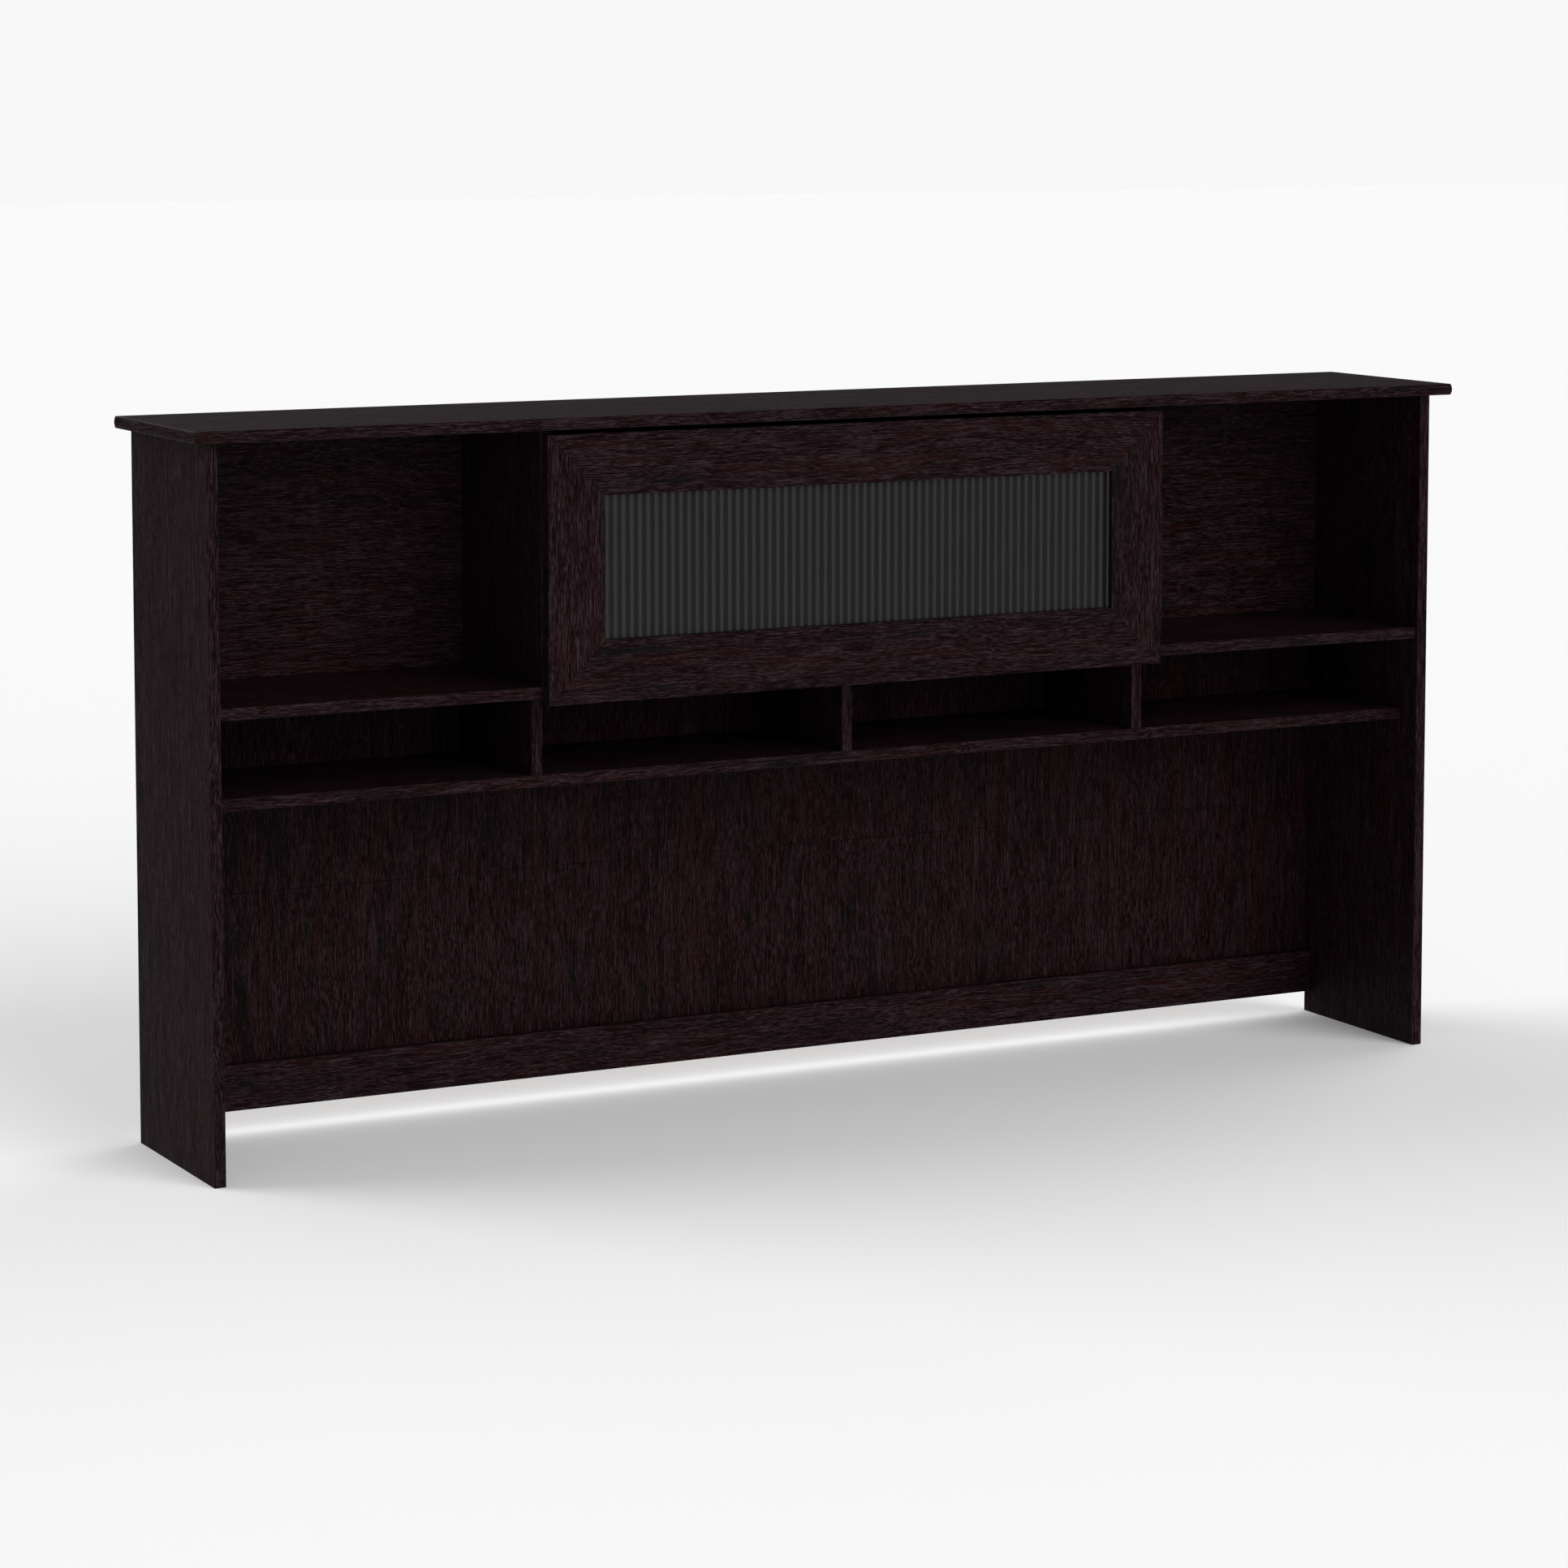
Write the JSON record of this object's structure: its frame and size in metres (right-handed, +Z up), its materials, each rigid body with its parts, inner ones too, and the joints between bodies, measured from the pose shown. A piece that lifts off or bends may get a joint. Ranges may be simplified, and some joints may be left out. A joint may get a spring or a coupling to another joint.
{
  "type": "desk hutch",
  "caption": "Wide dark oak desk hutch with open shelves, low cubbies above the desk surface and a central cabinet behind a lift-up door with a fluted glass pane.",
  "frame": {"origin": "middle of the base, on the desk surface that the hutch stands on", "axes": "+X to the right along the length, +Y towards the rear, +Z up; the door faces -Y"},
  "size_m": [1.82, 0.2916, 0.921],
  "materials": {
    "oak_laminate": "satin embossed oak-grain laminate, espresso",
    "printed_hardboard": "printed oak paper on hardboard, matte",
    "fluted_glass": "fluted, smoked grey",
    "nickel_steel": "nickel plated",
    "zinc_alloy": "die-cast zinc, dull",
    "black_steel": "black powder coat",
    "black_plastic": "matte",
    "clear_rubber": "translucent"
  },
  "bodies": {
    "carcass": {"back_panel_lower_leaf": "printed_hardboard", "back_panel_upper_leaf": "printed_hardboard", "bottom_rail": "oak_laminate", "center_divider": "oak_laminate", "left_divider": "oak_laminate", "left_hinge_arm": "nickel_steel", "left_hinge_inner_screw": "zinc_alloy", "left_hinge_outer_screw": "zinc_alloy", "left_hinge_plate": "nickel_steel", "left_partition": "oak_laminate", "left_side_panel": "oak_laminate", "left_stay_foot_bracket": "nickel_steel", "lower_shelf": "oak_laminate", "lower_shelf_left_front_cam": "zinc_alloy", "lower_shelf_left_rear_cam": "zinc_alloy", "lower_shelf_right_front_cam": "zinc_alloy", "lower_shelf_right_rear_cam": "zinc_alloy", "right_divider": "oak_laminate", "right_hinge_arm": "nickel_steel", "right_hinge_inner_screw": "zinc_alloy", "right_hinge_outer_screw": "zinc_alloy", "right_hinge_plate": "nickel_steel", "right_partition": "oak_laminate", "right_side_panel": "oak_laminate", "right_stay_foot_bracket": "nickel_steel", "top_panel": "oak_laminate", "upper_back_left_lower_cam": "zinc_alloy", "upper_back_left_upper_cam": "zinc_alloy", "upper_back_panel": "oak_laminate", "upper_back_right_lower_cam": "zinc_alloy", "upper_back_right_upper_cam": "zinc_alloy", "upper_shelf": "oak_laminate", "upper_shelf_left_front_cam": "zinc_alloy", "upper_shelf_left_rear_cam": "zinc_alloy", "upper_shelf_right_front_cam": "zinc_alloy", "upper_shelf_right_rear_cam": "zinc_alloy"},
    "door": {"door_bottom_rail": "oak_laminate", "door_glass": "fluted_glass", "door_left_stile": "oak_laminate", "door_right_stile": "oak_laminate", "door_top_rail": "oak_laminate", "glass_strip_bottom": "black_plastic", "glass_strip_left": "black_plastic", "glass_strip_right": "black_plastic", "glass_strip_top": "black_plastic", "left_door_bumper": "clear_rubber", "left_hinge_cup": "nickel_steel", "left_hinge_pin": "nickel_steel", "left_stay_head_bracket": "nickel_steel", "right_door_bumper": "clear_rubber", "right_hinge_cup": "nickel_steel", "right_hinge_pin": "nickel_steel", "right_stay_head_bracket": "nickel_steel"},
    "stay_tubes": {"left_stay_tube": "black_steel", "right_stay_tube": "black_steel"},
    "stay_rods": {"left_stay_rod": "nickel_steel", "right_stay_rod": "nickel_steel"}
  },
  "joints": [
    {"name": "door_lift", "type": "hinge", "parent": "carcass", "child": "door", "pos_m": [0, -0.13045, 0.8935], "axis": [-1, 0, 0], "range_deg": [0, 85]},
    {"name": "stay_swing", "type": "hinge", "parent": "carcass", "child": "stay_tubes", "pos_m": [0, 0.03, 0.835], "axis": [-1, 0, 0], "range_deg": [0, 3.61]},
    {"name": "stay_extension", "type": "slide", "parent": "stay_tubes", "child": "stay_rods", "axis": [0, -0.9956, 0.0938], "range_m": [0, 0.0678]}
  ],
  "couplings": [
    {"joint": "stay_swing", "follows": "door_lift", "ratio": 0.042208},
    {"joint": "stay_extension", "follows": "door_lift", "m_per_rad": 0.045656}
  ]
}
